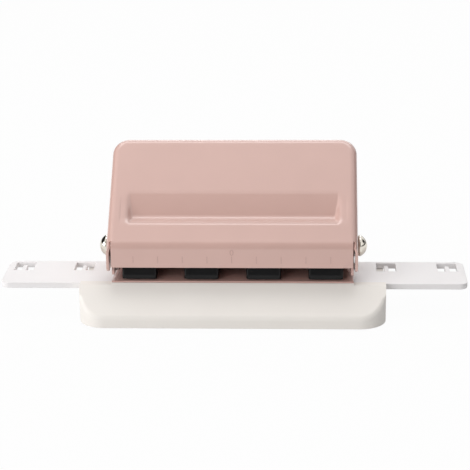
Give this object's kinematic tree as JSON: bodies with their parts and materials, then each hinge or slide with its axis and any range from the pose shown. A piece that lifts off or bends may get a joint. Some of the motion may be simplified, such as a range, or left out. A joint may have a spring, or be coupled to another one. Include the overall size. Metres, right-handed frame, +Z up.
{
  "type": "disc binding punch",
  "caption": "Desk punch that cuts a row of mushroom holes for disc binding: sloping sheet-steel lever over guided punches, on a moulded base with a sliding hole gauge.",
  "frame": {"origin": "centre of the base on the surface that the rubber feet stand on", "axes": "+X along the gauge to the user's right, +Y away from the user, +Z up"},
  "size_m": [0.192, 0.0614, 0.0661],
  "materials": {
    "pink_lever": "satin powder coat",
    "pink_frame": "satin powder coat",
    "white_base": "fine moulded texture",
    "white_gauge": "satin",
    "white_washer": "satin",
    "black_block": "gloss",
    "black_cap": "satin",
    "spring_steel": "drawn wire",
    "steel": "zinc plated",
    "nickel": "polished nickel",
    "rubber": "matte"
  },
  "bodies": {
    "base": {"base_tray": "white_base", "cover_hinge_pin": "steel", "rubber_feet": "rubber", "frame": "pink_frame", "frame_screws": "steel", "guide_bridge": "pink_frame", "bridge_rivets": "steel", "block_screws": "steel", "left_pivot_rivet": "nickel", "right_pivot_rivet": "nickel", "left_pivot_washer": "white_washer", "right_pivot_washer": "white_washer", "guide_block_1": "black_block", "guide_block_2": "black_block", "guide_block_3": "black_block", "guide_block_4": "black_block", "punch_spring_1": "spring_steel", "punch_spring_2": "spring_steel", "punch_spring_3": "spring_steel", "punch_spring_4": "spring_steel"},
    "lever": {"lever": "pink_lever", "press_bar": "steel"},
    "gauge": {"gauge": "white_gauge"},
    "chip_cover": {"chip_cover": "white_base"},
    "punch_1": {"punch_1": "steel", "punch_cap_1": "black_cap"},
    "punch_2": {"punch_2": "steel", "punch_cap_2": "black_cap"},
    "punch_3": {"punch_3": "steel", "punch_cap_3": "black_cap"},
    "punch_4": {"punch_4": "steel", "punch_cap_4": "black_cap"}
  },
  "joints": [
    {"name": "lever_press", "type": "hinge", "parent": "base", "child": "lever", "pos_m": [0, -0.0072, 0.0282], "axis": [-1, 0, 0], "range_deg": [0, 20], "stiffness_Nm_per_rad": 1.2, "springref_deg": -8.02},
    {"name": "punch_1_drop", "type": "slide", "parent": "base", "child": "punch_1", "axis": [0, 0, -1], "range_m": [0, 0.00529], "deforming": ["punch_spring_1"]},
    {"name": "punch_2_drop", "type": "slide", "parent": "base", "child": "punch_2", "axis": [0, 0, -1], "range_m": [0, 0.00529], "deforming": ["punch_spring_2"]},
    {"name": "punch_3_drop", "type": "slide", "parent": "base", "child": "punch_3", "axis": [0, 0, -1], "range_m": [0, 0.00529], "deforming": ["punch_spring_3"]},
    {"name": "punch_4_drop", "type": "slide", "parent": "base", "child": "punch_4", "axis": [0, 0, -1], "range_m": [0, 0.00529], "deforming": ["punch_spring_4"]},
    {"name": "gauge_slide", "type": "slide", "parent": "base", "child": "gauge", "axis": [1, 0, 0], "range_m": [-0.0075, 0.0075]},
    {"name": "cover_hinge", "type": "hinge", "parent": "base", "child": "chip_cover", "pos_m": [0, 0.0267, 0.0023], "axis": [1, 0, 0], "range_deg": [0, 75]}
  ],
  "couplings": [
    {"joint": "punch_1_drop", "follows": "lever_press", "m_per_rad": 0.015125},
    {"joint": "punch_2_drop", "follows": "lever_press", "m_per_rad": 0.015125},
    {"joint": "punch_3_drop", "follows": "lever_press", "m_per_rad": 0.015125},
    {"joint": "punch_4_drop", "follows": "lever_press", "m_per_rad": 0.015125}
  ]
}
